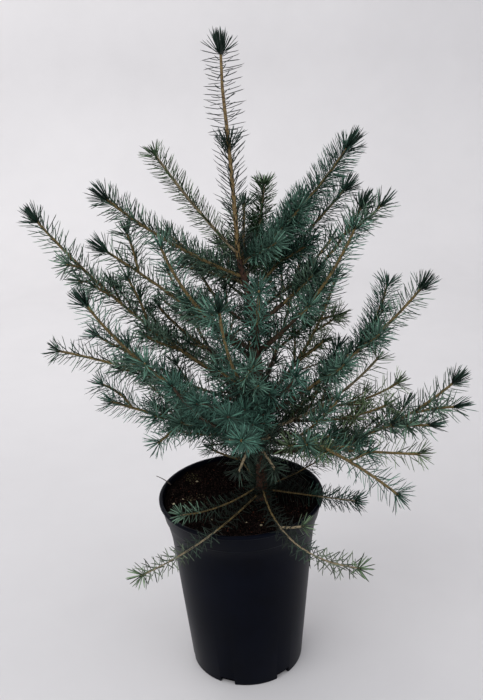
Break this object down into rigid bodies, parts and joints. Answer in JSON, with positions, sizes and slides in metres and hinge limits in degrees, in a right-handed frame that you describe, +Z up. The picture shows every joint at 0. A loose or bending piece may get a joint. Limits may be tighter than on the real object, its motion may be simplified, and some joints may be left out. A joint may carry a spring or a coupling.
{
  "type": "potted spruce tree",
  "caption": "Young spruce with a slender leading shoot and upswept boughs of blue-green needles, rooted in soil in a tall tapered black nursery pot.",
  "frame": {"origin": "centre of the pot's flat underside", "axes": "+Z up along the pot's axis, -Y towards the front of the plant, +X to its right as seen from the front"},
  "size_m": [0.461, 0.4517, 0.7336],
  "materials": {
    "black_plastic": "moulded, slightly glossy",
    "soil": "loose, rough and damp",
    "bark": "rough, dark red-brown",
    "young_bark": "fine-grained, ochre brown",
    "needles": "waxy, blue-green"
  },
  "bodies": {
    "root": {"bough_b_back": "young_bark", "bough_b_left": "young_bark", "bough_b_left_front": "young_bark", "bough_b_right": "young_bark", "bough_b_right_back": "young_bark", "bough_c_back_left": "young_bark", "bough_c_back_right": "young_bark", "bough_c_big_left": "young_bark", "bough_c_left": "young_bark", "bough_c_right_back": "young_bark", "bough_c_right_up": "young_bark", "bough_d_right": "young_bark", "bough_d_right_front": "young_bark", "mass_a_back": "needles", "mass_a_back_right": "needles", "mass_a_left": "needles", "mass_a_left_up": "needles", "mass_a_right": "needles", "mass_ab_back_left": "needles", "mass_ab_right": "needles", "mass_b_back": "needles", "mass_b_back_right": "needles", "mass_b_front": "needles", "mass_b_left": "needles", "mass_b_left_back": "needles", "mass_b_left_front": "needles", "mass_b_left_thin": "needles", "mass_b_right": "needles", "mass_b_right_back": "needles", "mass_c_back_left": "needles", "mass_c_back_right": "needles", "mass_c_big_left": "needles", "mass_c_front_right": "needles", "mass_c_front_up": "needles", "mass_c_left": "needles", "mass_c_left_level": "needles", "mass_c_right_back": "needles", "mass_c_right_thin": "needles", "mass_c_right_up": "needles", "mass_d_back": "needles", "mass_d_back_left": "needles", "mass_d_back_right": "needles", "mass_d_front_1": "needles", "mass_d_front_2": "needles", "mass_d_front_3": "needles", "mass_d_front_4": "needles", "mass_d_left": "needles", "mass_d_right": "needles", "mass_d_right_front": "needles", "mass_d_right_level": "needles", "mass_e_back": "needles", "mass_e_left": "needles", "mass_e_left_short": "needles", "mass_e_right": "needles", "mass_e_right_back": "needles", "mass_e_right_level": "needles", "mass_leader": "needles", "pot": "black_plastic", "soil": "soil", "trunk": "bark"}
  },
  "joints": []
}
